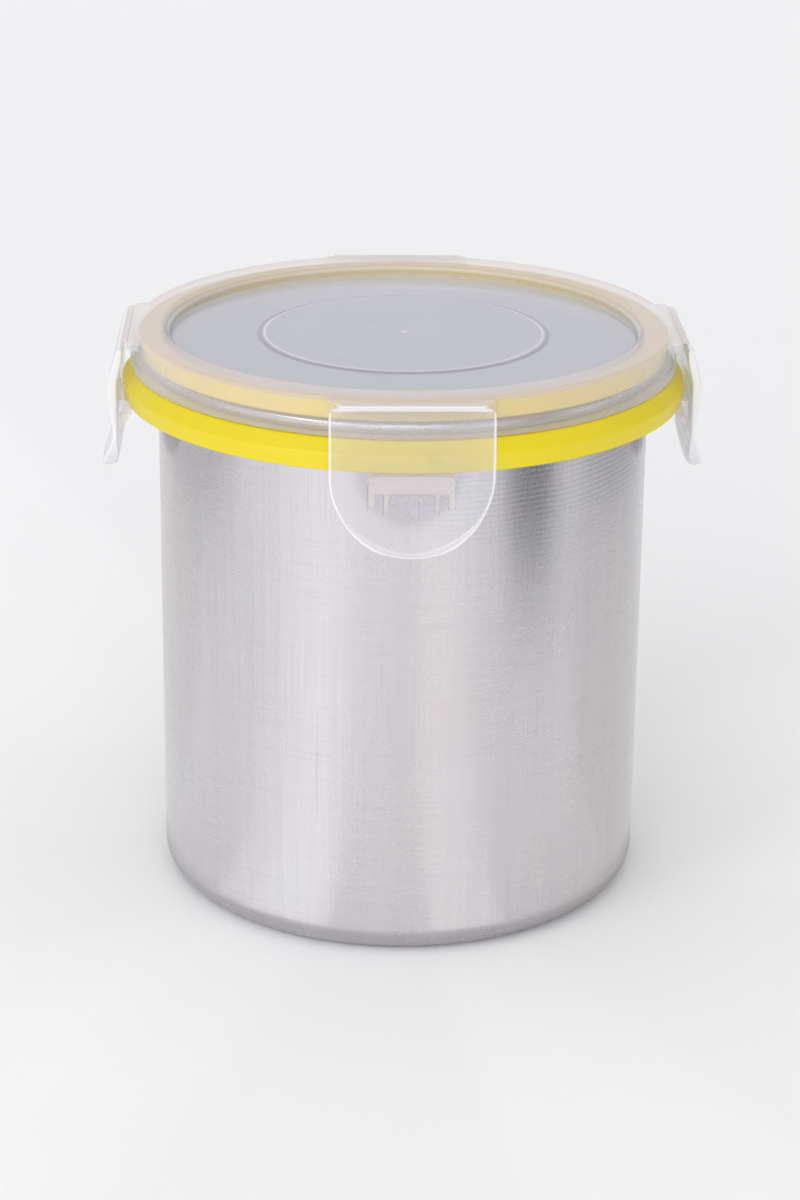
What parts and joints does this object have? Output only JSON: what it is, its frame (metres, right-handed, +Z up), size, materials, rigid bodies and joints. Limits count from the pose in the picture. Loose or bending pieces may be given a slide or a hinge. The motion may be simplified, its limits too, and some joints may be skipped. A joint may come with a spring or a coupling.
{
  "type": "food canister",
  "caption": "Round steel food canister with a plastic collar and a clear lid held by hinged D-shaped locking flaps over a soft gasket.",
  "frame": {"origin": "on the table, under the middle of the base", "axes": "+Z up along the canister's axis; -Y is the front, where one flap is; the other flaps are at +X, +Y and -X"},
  "size_m": [0.1352, 0.1352, 0.1302],
  "materials": {
    "brushed_steel": "fine scratch-brushed stainless steel",
    "yellow_plastic": "glossy opaque yellow plastic",
    "clear_lid_plastic": "slightly milky translucent plastic",
    "clear_flap_plastic": "clear glossy plastic",
    "yellow_silicone": "soft satin yellow silicone"
  },
  "bodies": {
    "canister": {"steel_body": "brushed_steel", "collar_ring": "yellow_plastic"},
    "lid_assembly": {"lid": "clear_lid_plastic", "gasket": "yellow_silicone", "hinge_web_front": "clear_lid_plastic", "hinge_web_right": "clear_lid_plastic", "hinge_web_back": "clear_lid_plastic", "hinge_web_left": "clear_lid_plastic"},
    "flap_front_body": {"flap_front": "clear_flap_plastic", "latch_hook_front": "clear_flap_plastic"},
    "flap_right_body": {"flap_right": "clear_flap_plastic", "latch_hook_right": "clear_flap_plastic"},
    "flap_back_body": {"flap_back": "clear_flap_plastic", "latch_hook_back": "clear_flap_plastic"},
    "flap_left_body": {"flap_left": "clear_flap_plastic", "latch_hook_left": "clear_flap_plastic"}
  },
  "joints": [
    {"name": "lid_lift", "type": "slide", "parent": "canister", "child": "lid_assembly", "axis": [0, 0, 1], "range_m": [0, 0.06], "deforming": ["latch_hook_front", "latch_hook_right", "latch_hook_back", "latch_hook_left"]},
    {"name": "flap_front_swing", "type": "hinge", "parent": "lid_assembly", "child": "flap_front_body", "pos_m": [0, -0.0618, 0.12895], "axis": [-1, 0, 0], "range_deg": [0, 120], "deforming": ["hinge_web_front"]},
    {"name": "flap_right_swing", "type": "hinge", "parent": "lid_assembly", "child": "flap_right_body", "pos_m": [0.0618, 0, 0.12895], "axis": [0, -1, 0], "range_deg": [0, 120], "deforming": ["hinge_web_right"]},
    {"name": "flap_back_swing", "type": "hinge", "parent": "lid_assembly", "child": "flap_back_body", "pos_m": [0, 0.0618, 0.12895], "axis": [1, 0, 0], "range_deg": [0, 120], "deforming": ["hinge_web_back"]},
    {"name": "flap_left_swing", "type": "hinge", "parent": "lid_assembly", "child": "flap_left_body", "pos_m": [-0.0618, 0, 0.12895], "axis": [0, 1, 0], "range_deg": [0, 120], "deforming": ["hinge_web_left"]}
  ]
}
